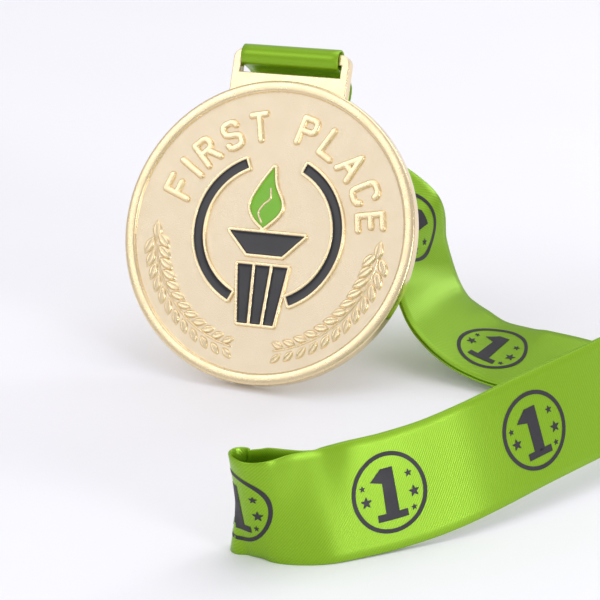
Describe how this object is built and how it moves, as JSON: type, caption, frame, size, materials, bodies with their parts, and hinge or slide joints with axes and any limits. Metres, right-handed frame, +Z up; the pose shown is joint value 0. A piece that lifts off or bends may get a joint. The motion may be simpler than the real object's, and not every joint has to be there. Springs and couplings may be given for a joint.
{
  "type": "award medal on a neck ribbon",
  "caption": "Round die-cast award medal with raised relief, enamel fills and a slotted hanger, leaning back on its bright green woven neck ribbon.",
  "frame": {"origin": "centre of the bounding box's bottom face, on the table", "axes": "+Z up from the table, +X along the medal's face to its right, +Y behind the medal"},
  "size_m": [0.1856, 0.1636, 0.0756],
  "materials": {
    "pale_gold": "satin pale gold plating",
    "black_enamel": "glossy black enamel",
    "green_enamel": "glossy green enamel",
    "green_ribbon": "lime green satin weave with a dark print",
    "green_thread": "darker green sewing thread"
  },
  "bodies": {
    "ribbon": {"bar_loop": "green_ribbon", "seam_thread": "green_thread", "outer_drop": "green_ribbon", "inner_drop": "green_ribbon", "outer_sweep": "green_ribbon", "inner_sweep": "green_ribbon", "outer_turn": "green_ribbon", "inner_turn": "green_ribbon", "outer_run": "green_ribbon", "inner_run": "green_ribbon", "end_loop": "green_ribbon"},
    "medal": {"medal_body": "pale_gold", "ring_enamel_left": "black_enamel", "ring_enamel_right": "black_enamel", "bowl_enamel": "black_enamel", "flute_enamel_left": "black_enamel", "flute_enamel_middle": "black_enamel", "flute_enamel_right": "black_enamel", "flame_enamel": "green_enamel"}
  },
  "joints": [
    {"name": "medal_swing", "type": "hinge", "parent": "ribbon", "child": "medal", "pos_m": [-0.0572, 0.04294, 0.07241], "axis": [-0.999, -0.0205, -0.0385], "range_deg": [0, 90]}
  ]
}
